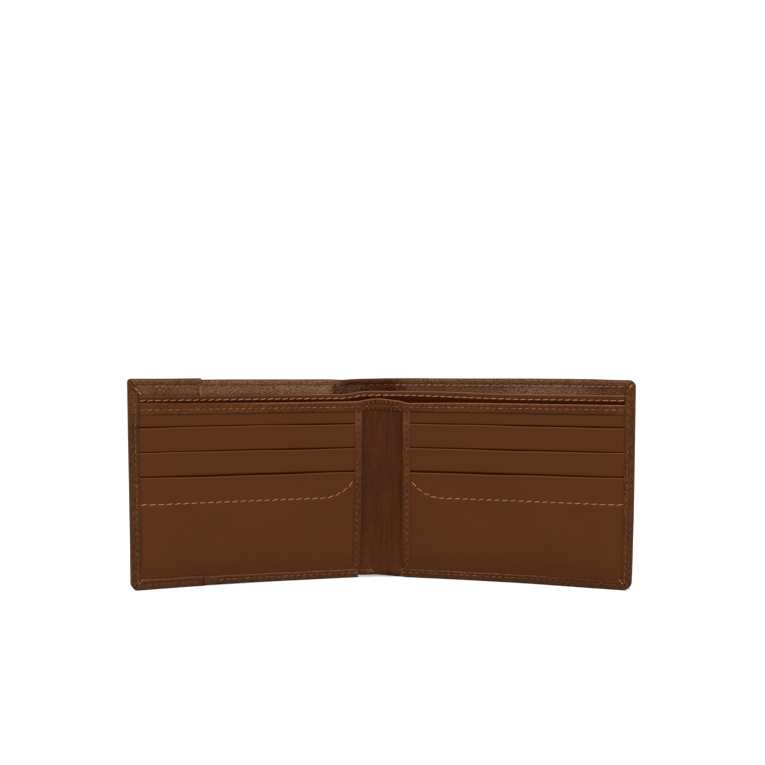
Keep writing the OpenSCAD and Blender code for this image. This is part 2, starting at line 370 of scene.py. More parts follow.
def thin_out(places, gap):
    """Sorted places, leaving out any that are closer than gap to the one before. Both ends are kept."""
    places = np.sort(places)
    kept = [places[0]]
    for p in places[1:]:
        if p - kept[-1] > gap:
            kept.append(p)
    if len(kept) > 1:
        kept[-1] = places[-1]
    return np.array(kept)


def grid_lines(lo, hi, size, round_lo=True, seams=()):
    """Sampling along one direction: close together at rounded edges and at seams."""
    places = [steps(lo, hi, size), hi - ROUNDING, *(seam + SEAM_LINES for seam in seams)]
    if round_lo:
        places.append(lo + ROUNDING)
    every = np.concatenate(places)
    return thin_out(every[(every >= lo) & (every <= hi)], 0.03)


def sheet(side, along, up, back, front, edge_round=0.35, cut=False, shift=None, slide=None, mark=None):
    """A closed sheet of leather between two depths, given as functions of (u, z), with rounded edges. A cut
    sheet ends flat in the middle of the spine, where its other half begins. shift moves its points up, and
    slide moves them along."""
    m = Mesh()
    a, z = np.meshgrid(along, up, indexing="ij")
    to_end = along[-1] - a if cut else np.minimum(a - along[0], along[-1] - a)
    near = np.clip(np.minimum(to_end, np.minimum(z - up[0], up[-1] - z)) / edge_round, 0, 1)
    share = np.sqrt(1 - (1 - near) ** 2)
    if slide is not None:
        a = a + slide(side, a, z)
    u = side * a
    b, f = back(u, z), front(u, z)
    marks = 0.0 if mark is None else mark(u, z)
    if shift is not None:
        z = z + shift(u, z)
    front_points = m.add(u, (b + f) / 2 + (f - b) / 2 * share, z, marks)
    back_points = m.add(u, (b + f) / 2 - (f - b) / 2 * share, z)
    m.quads(front_points)
    m.quads(back_points)
    if cut:
        m.quads(np.stack([back_points[0], front_points[0]]))
    return m


def sweep(sections):
    """A closed section carried along a path: sections holds (u, t, z, mark), indexed [along, round, 4]."""
    m = Mesh()
    ring = m.add(*np.moveaxis(sections, -1, 0))
    m.quads(np.concatenate([ring, ring[:, :1]], axis=1))
    m.face(list(ring[0]))
    m.face(list(ring[-1]))
    return m


def rounded_section(corners, radius):
    """A closed outline from corner points, each corner rounded."""
    points = []
    corners = np.array(corners, float)
    for before, here, after in zip(np.roll(corners, 1, axis=0), corners, np.roll(corners, -1, axis=0)):
        lengths = [np.linalg.norm(other - here) for other in (before, after)]
        a, b = (here + (other - here) / length * min(radius, length * 0.45)
                for other, length in zip((before, after), lengths))
        for f in np.linspace(0, 1, 4):
            points.append((1 - f) ** 2 * a + 2 * f * (1 - f) * here + f ** 2 * b)
    return np.array(points)


def groove(distance, deep=0.13, wide=0.32):
    """How deep a seam pulls the leather in, at a distance from the seam."""
    return deep * hump(distance, 0, wide)


def sewn(distance, strength=0.55):
    """How dark the leather is along a seam, where the needle holes are."""
    return strength * hump(distance, 0, 0.3)


def painted_mouth_shadow(z, mouth, strength=1.0, reach=0.9):
    """Painted shadow on the leather just above a mouth that stands in front of it, as a mark."""
    above = np.maximum(z - mouth, 0)
    return strength * fall(above, 0.25, reach) + 0.1 * np.exp(-above / 2)


def painted_lip_highlight(z, mouth, strength, width):
    """Painted highlight along the lip at the top of a mouth, as a mark below 0."""
    return -strength * hump(z, mouth, width)


# ---------------------------------------------------------------- materials


def linear(r, g, b):
    """An sRGB colour, 0 to 255, in linear light."""
    def one(c):
        c /= 255
        return c / 12.92 if c < 0.04045 else ((c + 0.055) / 1.055) ** 2.4
    return (one(r), one(g), one(b), 1.0)


class Nodes:
    """Builds a material. The methods that add a shader node give back its output."""

    def __init__(self, name):
        self.material = bpy.data.materials.new(name)
        self.material.use_nodes = True
        self.tree = self.material.node_tree
        self.shader = self.tree.nodes["Principled BSDF"]

    def fill(self, node, inputs):
        """Sets each input to its value, or links it to its output."""
        for key, value in inputs.items():
            if isinstance(value, bpy.types.NodeSocket):
                self.tree.links.new(value, node.inputs[key])
            else:
                node.inputs[key].default_value = value

    def add(self, kind, inputs, output=0, **settings):
        node = self.tree.nodes.new(kind)
        for key, value in settings.items():
            setattr(node, key, value)
        self.fill(node, inputs)
        return node.outputs[output]

    def finish(self, inputs):
        self.fill(self.shader, inputs)
        return self.material

    def attribute(self, name, output):
        return self.add("ShaderNodeAttribute", {}, output, attribute_name=name)

    def moved(self, vector, shift, scale=(1, 1, 1)):
        return self.add("ShaderNodeMapping", {"Vector": vector, "Location": shift, "Scale": scale})

    def noise(self, vector, scale, detail=3.0, rough=0.55):
        inputs = {"Vector": vector, "Scale": scale, "Detail": detail, "Roughness": rough}
        return self.add("ShaderNodeTexNoise", inputs, "Fac")

    def pebbles(self, vector, scale):
        """Height of leather pebbles: high in the cells, low in the creases between them."""
        inputs = {"Vector": vector, "Scale": scale}
        edge = self.add("ShaderNodeTexVoronoi", inputs, "Distance", feature="DISTANCE_TO_EDGE")
        return self.remap(edge, 0.0, 0.22)

    def remap(self, value, lo, hi, to_lo=0.0, to_hi=1.0):
        inputs = {"Value": value, "From Min": lo, "From Max": hi, "To Min": to_lo, "To Max": to_hi}
        return self.add("ShaderNodeMapRange", inputs, interpolation_type="SMOOTHSTEP")

    def times(self, a, b):
        return self.add("ShaderNodeMath", {0: a, 1: b}, operation="MULTIPLY")

    def mix(self, factor, a, b, blend="MIX"):
        inputs = {"Factor": factor, 6: a, 7: b}
        return self.add("ShaderNodeMix", inputs, 2, data_type="RGBA", blend_type=blend)

    def spread(self, base, noise, edge, share):
        """Makes a colour lighter and darker by a share, in spots that are as sharp as edge is small."""
        spots = self.remap(noise, 0.5 - edge, 0.5 + edge, 1 - share, 1 + share)
        return self.mix(1.0, base, spots, "MULTIPLY")

    def bump(self, value, height, strength, under=None):
        inputs = {"Height": value, "Strength": strength, "Distance": height * MM}
        if under is not None:
            inputs["Normal"] = under
        return self.add("ShaderNodeBump", inputs, "Normal")


# How much brighter a colour looks in the studio's light
LIGHT = 2.5


def shade(colour, *factors):
    """The colour times one factor, or times one for each channel."""
    return (*np.multiply(colour[:3], factors), 1.0)


# The colour of leather under painted shade (in gaps, creases, under lips and on hidden faces) and on
# burnished edges and needle holes, against its own colour: darker, and redder
SHADE_AND_BURNISH = (0.33, 0.2, 0.08)


def leather(name, seen, pebble_mm, pebble_depth, fine_depth, roughness, specular, valley=0.8, mottle=0.06,
            shift=(0, 0, 0), tint_power=0.9, speckle=0.0, streaks=0.0, highlight_tint=(1.7, 2.1, 2.7), dots_per_mm=1.3):
    """Leather with pebbled grain, fine pores and slow colour variation. seen is its colour in the studio's
    light. A mark above 0 on the mesh darkens it: painted shade in gaps, creases and under lips, and the dark
    of burnished edges and needle holes. One below 0 lightens it towards the leather's own colour times the
    given factors, mostly as painted highlight on lips, edges and joints."""
    n = Nodes(name)
    colour = shade(seen, 1 / LIGHT)
    vector = n.moved(n.attribute("flat_mm", "Vector"), shift)
    fine = n.noise(vector, 3.2, 4.0, 0.6)
    pores = n.remap(n.noise(vector, 1.6 / pebble_mm, 2.0), 0.35, 0.6)
    grain = n.times(n.pebbles(vector, 1 / pebble_mm), pores)
    slow = n.noise(n.moved(vector, (7, 0, 3), (0.03, 0.03, 0.045)), 1.0)
    patches = n.noise(vector, 0.22)
    base = n.mix(grain, shade(colour, valley), colour)
    base = n.mix(n.remap(slow, 0.35, 0.65), base, shade(colour, 1 + mottle))
    base = n.mix(n.remap(patches, 0.3, 0.7, 0.0, 0.35), base, shade(colour, 1 - 1.5 * mottle))
    if streaks:
        upright = n.moved(vector, (3, 1, 2), (0.9, 0.3, 0.06))
        base = n.spread(base, n.noise(upright, 1.0), 0.15, streaks)
    mark = n.attribute("mark", "Fac")
    # Marks above 0: painted shade, and the dark of burnished edges and needle holes
    base = n.mix(n.remap(mark, 0.0, 1.0), base, shade(colour, *SHADE_AND_BURNISH))
    # Marks below 0: painted highlight on lips, edges and joints
    base = n.mix(n.remap(mark, -1.0, 0.0, 1.0, 0.0), base, shade(colour, *highlight_tint))
    if speckle:
        dots = n.noise(n.moved(vector, (3, 1, 2)), dots_per_mm, 1.0, 0.6)
        base = n.spread(base, dots, 0.1, speckle)
    hue = tuple((c / max(seen[:3])) ** tint_power for c in seen[:3])
    return n.finish({
        "Base Color": base,
        "Roughness": n.remap(grain, 0.0, 1.0, min(1.0, roughness + 0.1), roughness),
        # Painted shade and dark edges lose their specular too
        "Specular IOR Level": n.remap(mark, 0.2, 1.0, specular, 0.0),
        "Specular Tint": hue + (1.0,),
        "Normal": n.bump(fine, fine_depth, 1.0, n.bump(grain, pebble_depth, 1.0))})


def thread_material():
    """Tan thread. The mark gives each stitch its own tone, and above 1 it fades towards the leather's
    colour, so that the stitches barely show.
    """
    n = Nodes("tan_thread")
    tones = (linear(222, 160, 116), linear(136, 78, 38), linear(98, 53, 22))
    bright, dull, leather_tone = (shade(tone, 1 / LIGHT) for tone in tones)
    twist = n.noise(n.attribute("flat_mm", "Vector"), 5.0, 2.0)
    base = n.mix(n.remap(twist, 0.3, 0.7), shade(bright, 0.68), bright)
    mark = n.attribute("mark", "Fac")
    base = n.mix(mark, base, dull)
    return n.finish({
        "Base Color": n.mix(n.remap(mark, 1.0, 2.0), base, leather_tone),
        "Roughness": n.remap(twist, 0.0, 1.0, 0.75, 0.55),
        "Specular IOR Level": 0.2,
        "Normal": n.bump(twist, 0.06, 0.7)})


SHELL_LEATHER = leather("shell_leather", linear(88, 51, 27), 0.95, 0.08, 0.03, 0.5, 0.16, valley=0.72,
                        shift=(3, 1, 9), speckle=0.4, highlight_tint=(2.5, 3.45, 5.6), dots_per_mm=1.6)
TRIM_LEATHER = leather("trim_leather", linear(93, 53, 28), 0.85, 0.07, 0.025, 0.5, 0.15, valley=0.75,
                       shift=(31, 4, 2), speckle=0.2, highlight_tint=(3.2, 4.2, 5.8))
POCKET_LEATHER = leather("pocket_leather", linear(91, 51, 27), 0.45, 0.012, 0.01, 0.5, 0.14, valley=0.95,
                         mottle=0.035, shift=(17, 8, 5), speckle=0.02)
# The inner panel is cut from the pocket leather; its darker colour is painted shade of the recessed spine
SHADED_INNER_LEATHER = leather("inner_leather", linear(76, 41, 21), 0.9, 0.06, 0.02, 0.5, 0.14, valley=0.75,
                        shift=(5, 2, 40), speckle=0.13, streaks=0.18, highlight_tint=(1.7, 1.9, 2.0))
DIVIDER_LEATHER = leather("divider_leather", linear(86, 47, 23), 0.45, 0.02, 0.015, 0.5, 0.13, valley=0.92,
                          shift=(2, 6, 51), speckle=0.06, highlight_tint=(3.6, 5.4, 8.4))
LINING_LEATHER = leather("lining_leather", linear(112, 77, 54), 0.8, 0.1, 0.03, 0.4, 0.3, valley=0.68,
                         mottle=0.26, shift=(11, 6, 21), tint_power=0.65, speckle=0.75, dots_per_mm=1.9)
END_LINING_LEATHER = leather("end_lining_leather", linear(106, 68, 43), 0.8, 0.09, 0.03, 0.45, 0.25,
                             valley=0.7, mottle=0.2, shift=(19, 6, 33), tint_power=0.7, speckle=0.65,
                             dots_per_mm=1.9)
BOARD = leather("bonded_board", linear(150, 128, 104), 0.3, 0.02, 0.03, 0.8, 0.2, valley=0.85,
                shift=(1, 1, 1))
THREAD = thread_material()

# ---------------------------------------------------------------- shell

PANEL_PROUD = 0.35
FLOOR_T = 0.85
# Insets of the wall under the turned edge, and of the field that is filled inside the rings
WALL = 0.8
INSIDE = 6.0
SEAM_MARK = 0.55
# Creases and ridges of the leather gathered at a corner: place across the corner, depth and width
GATHERS = ((0, 0.26, 0.32), (1.9, 0.16, 0.3), (-1.9, 0.16, 0.3), (1.0, -0.14, 0.4), (-1.0, -0.14, 0.4))

# The rings of a turned edge. On the outside, their insets from the edge
FIELD_INSETS = (INSIDE, 4.6, 3.9, 3.5, 3.2, 2.9, 2.65, 2.4, 2.15, 1.6)
# Where the edge is rounded, outside and inside: inset, drop below the face, and mark, which darkens the edge
# as burnished edge colour and as painted shade where it turns from the light
OUTER_ROUND = ((0.9, 0.03, 0), (0.5, 0.12, 0.3), (0.22, 0.32, 0.7), (0.05, 0.62, 1))
INNER_ROUND = ((0.05, 0.62, 1), (0.22, 0.3, 0.8), (0.5, 0.1, 0.2))
# Across the border: share of its width, drop below the face, mark (dark along the seam and at the edge), and
# painted highlight along its inner edge
BORDER_RINGS = ((0.45, 0, 0, 0), (0.54, 0.03, 0.1, 0), (0.6, 0.15, SEAM_MARK, 0), (0.66, 0.03, 0.1, 0),
                (0.8, 0, 0, 0), (0.91, 0.02, 0, -0.3), (0.97, 0.12, 0, -1.2), (1.0, 0.3, 0.3, -1.2),
                (1.0, 0.5, 0.8, -0.4), (0.985, 0.62, 1, 0))


def border_under(z):
    """Depth of the stack that the side border lies on: thinner with each mouth, and again over the band."""
    return np.interp(z, [0, 47, 50, 57, 60, 68, 71, 80, 82, 83.5, 87, 91],
                     [4.75, 4.75, 4.3, 4.25, 3.85, 3.8, 3.85, 3.85, 2.6, 1.8, 1.2, 1.0])


def shares(lo, hi, size, *extra):
    """Sampling from lo to hi with extra places, as shares of the way."""
    return (thin_out(np.concatenate([steps(lo, hi, size), *extra]), 0.1) - lo) / (hi - lo)


class Turned:
    """Exterior leather of one wing, from start to end along it, turned over its edges to the inside. With an
    outer edge the border runs round that too; without, the leather is cut straight at its end."""

    # Points round a corner, and extra places near an edge, as distances from it
    N_ARC = 13
    CLOSE = np.array([0, 0.25, 0.5, 0.8, 1.2, 1.8])

    def __init__(self, side, start, end, low, high, radii, borders, outer, proud=0.0, flange_from=None):
        self.side, self.start, self.end, self.low, self.high = side, start, end, low, high
        self.radii, self.outer, self.proud, self.flange_from = radii, outer, proud, flange_from
        self.back = -SHELL_T - proud
        beside = start + self.CLOSE if flange_from is None else flange_from + np.arange(-0.4, 0.9, 0.15)
        self.along = shares(start, end, 1.6, end - self.CLOSE, beside)
        self.up = shares(low, high, 2.0, low + self.CLOSE, high - self.CLOSE)
        self.top, self.edge = self.parts()
        s, z = self.ring(0.0).T
        self.has = np.ones(len(s))
        if flange_from is not None:
            self.has = np.maximum(ramp(s, flange_from, flange_from + 0.35), self.top)
        side_w, bottom_w, hem_w = borders
        width = bottom_w + (side_w - bottom_w) * self.edge + (hem_w - bottom_w) * self.top
        wavy = 0.09 * np.sin(s * 0.33) + 0.07 * np.sin(z * 0.41 + 1)
        self.width = 0.95 + (width - 0.95) * self.has + wavy * self.has

    def ring(self, inset):
        """Places (s, z) round the free edges, inset from them: along the bottom, up the outer edge and back
        along the top. Every ring has the same number of points."""
        r_low, r_high = (max(r - inset, 0.0) for r in self.radii)
        turn_low, turn_high = (max(r, inset) if self.outer else 0.0 for r in self.radii)
        far_low, far_high = self.end - turn_low, self.end - turn_high
        loop = [(self.start + (far_low - self.start) * f, self.low + inset) for f in self.along]
        if self.outer:
            angles = np.radians(np.linspace(-90, 0, self.N_ARC + 2)[1:-1])
            z_low, z_high = self.low + turn_low, self.high - turn_high
            loop += [(far_low + r_low * math.cos(a), z_low + r_low * math.sin(a)) for a in angles]
            loop += [(self.end - inset, z_low + (z_high - z_low) * f) for f in self.up]
            loop += [(far_high + r_high * math.cos(a), z_high - r_high * math.sin(a)) for a in angles[::-1]]
        loop += [(self.start + (far_high - self.start) * f, self.high - inset) for f in self.along[::-1]]
        return np.array(loop)

    def uneven_ring(self, insets):
        """A ring whose inset changes from point to point."""
        out = np.empty((len(insets), 2))
        keys = np.round(insets, 2)
        for key in np.unique(keys):
            out[keys == key] = self.ring(float(key))[keys == key]
        return out

    def parts(self):
        """How far each point of a ring belongs to the top edge and to the outer edge."""
        n_long, n_side = len(self.along), len(self.up)
        index = np.arange(2 * n_long + (n_side + 2 * self.N_ARC if self.outer else 0))
        if not self.outer:
            return (index >= n_long).astype(float), np.zeros(len(index))
        corner = n_long + self.N_ARC
        top = ramp(index, corner + n_side - 1, corner + n_side + self.N_ARC)
        return top, ramp(index, n_long - 1, corner) * (1 - top)

    def lap(self, u, deep, near=1.8, far=4.5):
        """How far the end panel stands back where it laps the shell's cut end."""
        return deep * fall(np.abs(u) - HINGE_X, END_START + near, END_START + far) if self.proud else 0

    def mitre(self, s, z):
        """The leather gathered at a corner has creases across the border, with ridges between them."""
        out = 0
        for reach in (z - self.low, self.high - z) if self.outer else ():
            near = fall(np.maximum(WING_LEN - s, reach), 3.5, 6.5)
            for middle, deep, wide in GATHERS:
                out = out + near * deep * hump(WING_LEN - s - reach, middle, wide)
        return out

    def front(self, u, z):
        """Depth of the turned edge's inside face."""
        top, has = self.top, self.has
        under = border_under(z) * (1 - top) + LINING[1] * top
        flange = under + BORDER_T + self.proud + self.lap(u, 0.45, 2.2, 5)
        spine = (LINING_AT_SPINE[1] + 0.03) * top + 0.15 * (1 - top) + BORDER_T
        face = level(spine, flange, u, z) * has + (0.72 + ripple(u, z)) * (1 - has)
        return face - self.mitre(np.abs(u) - HINGE_X, z)

    def behind(self, u, z):
        """Depth of the outside: seams pull it in, and it is padded between them."""
        s = np.abs(u) - HINGE_X
        seams = [groove(z - BOTTOM_SEAM, 0.13, 0.3), groove(z - HEM_SEAM, 0.13, 0.3),
                 groove(WING_LEN - s - SIDE_SEAM, 0.13 * self.outer, 0.3),
                 groove(s - PANEL_SEAM, 0.13 if self.proud else 0, 0.3)]
        edge_near = np.minimum(np.minimum(WING_LEN - s, z), WALLET_H - z)
        padded = 0.35 * ramp(edge_near, 3.5, 11) * ramp(s, 1, 10)
        return self.back - self.lap(u, 0.62) + np.maximum.reduce(seams) - padded + ripple(u, z)

    def floor(self, u, z):
        """Depth of the flesh side, under the turned edge."""
        return self.back + FLOOR_T + ripple(u, z) - self.lap(u, 0.6)

    def front_marks(self, u, z, mark, rim):
        """Painted shade darkens the hem over the fold; beside it the hem is lighter, with a painted
        highlight just under its top edge, and its edge rings are dark. The border has a painted highlight
        along its inner edge, painted shade in the creases at a corner and painted highlight on the ridges
        between them.
        """
        s, top, right = np.abs(u) - HINGE_X, self.top, self.side == RIGHT
        # Painted shade where the hem runs over the fold
        fold = ramp(u, -22, -16) * fall(u, 3, 12)
        plain = (0.3 if self.proud else 0.5) - 0.24 * right
        # Painted highlight just under the hem's top edge
        top_highlight = 0.34 + 0.14 * hump(u, 72, 14)
        hem = 0.62 * fold - plain * (1 - fold) - top_highlight * hump(self.high - z, 0.65, 0.5) + 0.2 * mark
        # The hem's rounded top edge is dark: burnished edge colour and painted shade
        if mark > 0.75:
            hem = 0.7 - 0.4 * ramp(u, 5, 20)
        marks = (self.calm(mark) - 0.12 * self.edge * right) * (1 - top) + hem * top
        border = top < 0.5
        # Creases at a corner get painted shade, the ridges between them painted highlight
        marks = np.where(border, marks + np.clip(3.2 * self.mitre(s, z), -0.7, 1.0), marks)
        if self.flange_from is not None:
            marks = np.where(border & (np.abs(s - self.flange_from - 0.3) < 0.35), -0.9, marks)
        fade = 0.8 - 0.5 * ramp(s, 45, 95) * right
        inner_edge = border & (z > 2.6) & (self.edge < 0.5) & (self.has > 0.5)
        # Painted highlight along the border's inner edge
        marks = np.where(inner_edge, 0.6 * marks + fade * rim, marks)
        # The end panel's lapping edge is darkened like the other edges: burnished colour and painted shade
        if self.proud:
            marks = np.where(border & (s < self.start + 0.4), 0.9, marks)
        return marks

    def calm(self, mark):
        """A mark that is weaker along the outer edge."""
        return mark * (1 - (0.5 if self.side == RIGHT else 0.62) * self.edge)

    def layer(self, inset, face, drop=0.0, mark=0.0, rim=0.0):
        """One ring of the turned edge as (u, t, z, mark), drop below its face."""
        s, z = (self.uneven_ring(inset) if isinstance(inset, np.ndarray) else self.ring(inset)).T
        u = self.side * (s + HINGE_X)
        back, fore, floor = self.behind(u, z), self.front(u, z), self.floor(u, z)
        # The under and floor faces are painted dark all over, as shade under the turned edge
        t, marks = {"back": (back + drop, self.calm(mark)),
                    "middle": ((back + fore) / 2, self.calm(mark)),
                    "front": (fore - drop * (1 - self.top if mark == SEAM_MARK else 1),
                              self.front_marks(u, z, mark, rim)),
                    "under": (np.maximum(fore - 0.62, floor + 0.02), np.ones(len(u))),
                    "floor": (floor, np.ones(len(u)))}[face]
        return u, t - gape(u, z), self.crest(u, z), marks

    def mesh(self):
        """The rings from the outside, round the edge, along the inside face and back under it."""
        width = self.width
        rings = [self.layer(inset, "back") for inset in FIELD_INSETS]
        rings += [self.layer(inset, "back", drop, mark) for inset, drop, mark in OUTER_ROUND]
        # The edge ring itself is darkened: burnished edge colour and painted shade
        rings.append(self.layer(0.0, "middle", 0, 1.0))
        rings += [self.layer(inset, "front", drop, mark) for inset, drop, mark in INNER_ROUND]
        rings.append(self.layer(np.minimum(width * 0.3, 0.9), "front", 0.01))
        rings += [self.layer(np.maximum(width * share, 0.9), "front", drop, mark, rim)
                  for share, drop, mark, rim in BORDER_RINGS]
        rings += [self.layer(WALL, "under"), self.layer(WALL, "floor"), self.layer(INSIDE, "floor")]
        m = Mesh()
        grid = np.stack([m.add(*ring) for ring in rings])
        m.quads(grid)
        outer_cut = self.fill(m, grid[0], rings[0][0], self.behind, 0.0)
        # The inner field under the turned edge is painted dark all over too, as shade
        inner_cut = self.fill(m, grid[-1], rings[-1][0], self.floor, 1.0)
        n_long = len(self.along)
        for end, (low, high) in enumerate(((0, -1), (n_long - 1, n_long))[:1 if self.outer else 2]):
            m.face([*grid[:, low], *inner_cut[end][1:-1], *grid[::-1, high], *outer_cut[end][-2:0:-1]])
        return m

    def crest(self, u, z):
        """The top edge isn't quite straight. A straight cut end draws in under the panel that laps it."""
        s = np.abs(u) - HINGE_X
        wave = 0.14 * np.tanh(u / 6) - 0.35 * hump(u, -18, 4) - 0.12 * np.sin(np.abs(u) * 0.06)
        wave = wave + 0.14 * ramp(u, 5, 20) * (1 - 0.4 * ramp(u, 60, 80))
        rise = 0.65 * fall(u, -6, 9) * ramp(u, -11.5, -11.1)
        if not self.outer:
            rise = rise - self.low * fall(s, 25, 55)
        z = z + wave * ramp(z, 60, WALLET_H) * fall(np.abs(u), 95, 108) + rise * fall(z, 2, 7)
        if not self.outer:
            drawn = 0.85 * ramp(s, END_START + 0.1, END_START + 0.6)
            z = z + drawn * fall(z, 2, 6) - drawn * ramp(z, 84, 88)
        return z

    def fill(self, m, ring, ring_u, surface, mark):
        """Fills the face inside a ring. Returns the columns at its start and end, from the bottom up."""
        n_long = len(self.along)
        columns = np.abs(ring_u[:n_long]) - HINGE_X
        z_run = self.low + INSIDE + (self.high - self.low - 2 * INSIDE) * self.up
        if self.outer:
            corner, top_corner = n_long + self.N_ARC, n_long + self.N_ARC + len(self.up)
            columns = columns[:-1]
            z_run = self.ring(INSIDE)[corner:top_corner, 1]
        s, z = np.meshgrid(columns, z_run[1:-1], indexing="ij")
        u = self.side * (s + HINGE_X)
        full = np.empty((n_long, len(z_run)), int)
        full[:, 0], full[:, -1] = ring[:n_long], ring[-n_long:][::-1]
        full[:len(columns), 1:-1] = m.add(u, surface(u, z) - gape(u, z), self.crest(u, z), mark)
        if self.outer:
            edge = ring[corner:top_corner]
            full[-1, 1:-1] = edge[1:-1]
            m.face([full[-1, 0], *ring[n_long:corner], edge[0]])
            m.face([edge[-1], *ring[top_corner:top_corner + self.N_ARC], full[-1, -1]])
        m.quads(full)
        return full[0], full[-1]


BORDERS = (SIDE_BORDER, BOTTOM_BORDER, HEM)
right_shell = Turned(RIGHT, -HINGE_X, WING_LEN, 0.0, WALLET_H, (3.7, 3.0), BORDERS, True, flange_from=0.2)
left_shell = Turned(LEFT, -HINGE_X, END_START + 1.4, 0.25, WALLET_H, (0, 0), BORDERS, False, flange_from=2.6)
end_panel = Turned(LEFT, END_START, WING_LEN, 0.0, END_TOP, (3.3, 1.6),
                   (SIDE_BORDER + 0.1, BOTTOM_BORDER + 0.7, HEM), True, proud=PANEL_PROUD)

seat(right_shell.mesh(), RIGHT, "shell_leather", SHELL_LEATHER, "shell_leather", "shell", crossing=SHELL)
seat(left_shell.mesh(), LEFT, "shell_leather", SHELL_LEATHER, "shell_leather", "shell", crossing=SHELL)
seat(end_panel.mesh(), LEFT, "end_panel_leather", SHELL_LEATHER, "shell_leather", "end_panel")

# ---------------------------------------------------------------- linings, divider and panels


def lining_back(u, z):
    return level(LINING_AT_SPINE[0], LINING[0], u, z) - gape(u, z)


def lining_front(u, z):
    hammered = 0.05 * np.sin(u * 0.9 + 2 * np.sin(z * 0.3)) * np.sin(z * 0.7 + np.sin(u * 0.4))
    return level(LINING_AT_SPINE[1], LINING[1], u, z) - gape(u, z) + hammered - groove(z - HEM_SEAM)


def lining_mark(u, z):
    """Painted shade over the fold, where the lining recedes, and painted shadow above the divider; a painted
    highlight beside the fold; darker over most of the right wing, and along the hem seam there.
    """
    # Painted shade where the lining recedes over the fold
    fold = 0.67 * ramp(u, -25, -22) * fall(u, 4, 15) + 0.12 * ramp(u, -10, -7) * fall(u, 3, 8)
    # Painted highlight where the lining beside the fold faces the light
    beside = -0.42 * ramp(u, -52, -44) * fall(u, -26, -23)
    right = (0.42 - 0.26 * hump(u, 74, 15) + 0.12 * ramp(u, 88, 100)) * ramp(u, 6, 20)
    seam = 0.3 * ramp(u, 0, 15) * hump(z, HEM_SEAM - 0.6, 0.5)
    above = z - DIVIDER_TOP - divider_lift(u) - 0.4 * ramp(u, 8, 35)
    shadow = (0.45 - 0.35 * ramp(u, 0, 20)) * fall(above, 0.2, 2.6) * ramp(np.abs(u + 12), 8, 30)
    return fold + (beside + right + seam) + shadow


def make_lining(side):
    end = END_START + 2.5 if side == LEFT else LAYER_END
    mesh = sheet(side, grid_lines(0, HINGE_X + end, 1.2, round_lo=False),
                 grid_lines(LAYER_LOW, 89.0, 1.5, seams=(DIVIDER_TOP + 0.5, HEM_SEAM)),
                 lining_back, lining_front, cut=True, mark=lining_mark)
    seat(mesh, side, "lining_leather", LINING_LEATHER, "lining_leather", "lining", crossing=SHELL)


def pressed_back(u, z):
    """The top of the divider lies back against the lining."""
    return 0.2 * ramp(z, 60, 83) * ramp(np.abs(u), 14, 40)


def divider_back(u, z):
    return level(DIVIDER_AT_SPINE[0], DIVIDER[0], u, z) - pressed_back(u, z)


def divider_front(u, z):
    lip = 0.1 * hump(z, DIVIDER_TOP - 0.45, 0.45)
    dip = groove(z - DIVIDER_SEAM) + groove(z - DIVIDER_TOP + 0.95, 0.06, 0.15)
    return level(DIVIDER_AT_SPINE[1], DIVIDER[1], u, z) - pressed_back(u, z) + lip - dip


def divider_mark(u, z):
    # Painted shadow of the band's top edge on the divider, painted highlight on its lip, and dark needle
    # holes along its seam
    shadow = painted_mouth_shadow(z, BAND_TOP, 0.72 - 0.06 * ramp(u, -5, 15), 1.3)
    return shadow + painted_lip_highlight(z, DIVIDER_TOP, 0.5 + 0.5 * ramp(u, -60, -30), 0.36) + sewn(z - DIVIDER_SEAM, 0.7)


def divider_rise(u, z):
    crown = 0.4 * ramp(u, 8, 35) * ramp(z, DIVIDER_SEAM + 0.4, DIVIDER_TOP)
    return divider_lift(u) * ramp(z, 50, DIVIDER_TOP) + crown


def make_divider(side):
    mesh = sheet(side, grid_lines(0, LAYER_EDGE, 1.5, round_lo=False),
                 grid_lines(LAYER_LOW, DIVIDER_TOP, 3.0, seams=(DIVIDER_SEAM, BAND_TOP + 0.3)),
                 divider_back, divider_front, edge_round=0.3, cut=True, shift=divider_rise,
                 mark=divider_mark)
    seat(mesh, side, "divider_leather", DIVIDER_LEATHER, "lining_leather", "divider", crossing=LAYERS)


def inner_back(u, z):
    return level(INNER_AT_SPINE[0], INNER[0], u, z)


def inner_front(u, z):
    fine = 0.1 * np.sin(u * 2.9 + 0.5 * np.sin(z * 0.2)) * ramp(z, 30, 76)
    creases = fall(np.abs(u), 7, 10) * (fine + 0.12 * np.sin(u * 0.9 + z * 0.05))
    return level(INNER_AT_SPINE[1], INNER[1], u, z) + creases


def inner_mark(u, z):
    """Painted shade between the pleats and a painted contact shadow along its lower edge, a little darker
    half way up, and painted light at the foot and away from the middle lower down.
    """
    pleat_shade = 0.45 * (1 - np.abs(np.cos(np.pi * u / PLEAT_W)) ** 0.5) * ramp(z, 66, 74)
    side_light = 0.26 * ramp(np.abs(u), 4.5, 7) * fall(z, 55, 72)
    return pleat_shade + 0.08 * hump(z, 45, 14) - 0.4 * fall(z, 5, 32) - side_light + 0.9 * fall(z, LAYER_LOW, 1.8)


def under_band(low):
    """The leather whose edge is under the band follows the band's arch, from a height of low upwards."""
    return lambda u, z: (band_lift(u) - band_sag(u)) * ramp(z, low, BAND_TOP)


def make_inner(side):
    across = np.concatenate([steps(0, 12, 0.35), grid_lines(12, LAYER_EDGE, 2.5, round_lo=False)])
    mesh = sheet(side, thin_out(across, 0.03), grid_lines(LAYER_LOW, UNDER_BAND, 2.0), inner_back,
                 inner_front, cut=True, shift=under_band(40), mark=inner_mark)
    seat(mesh, side, "inner_leather", SHADED_INNER_LEATHER, "pocket_leather", "inner_panel", crossing=LAYERS)


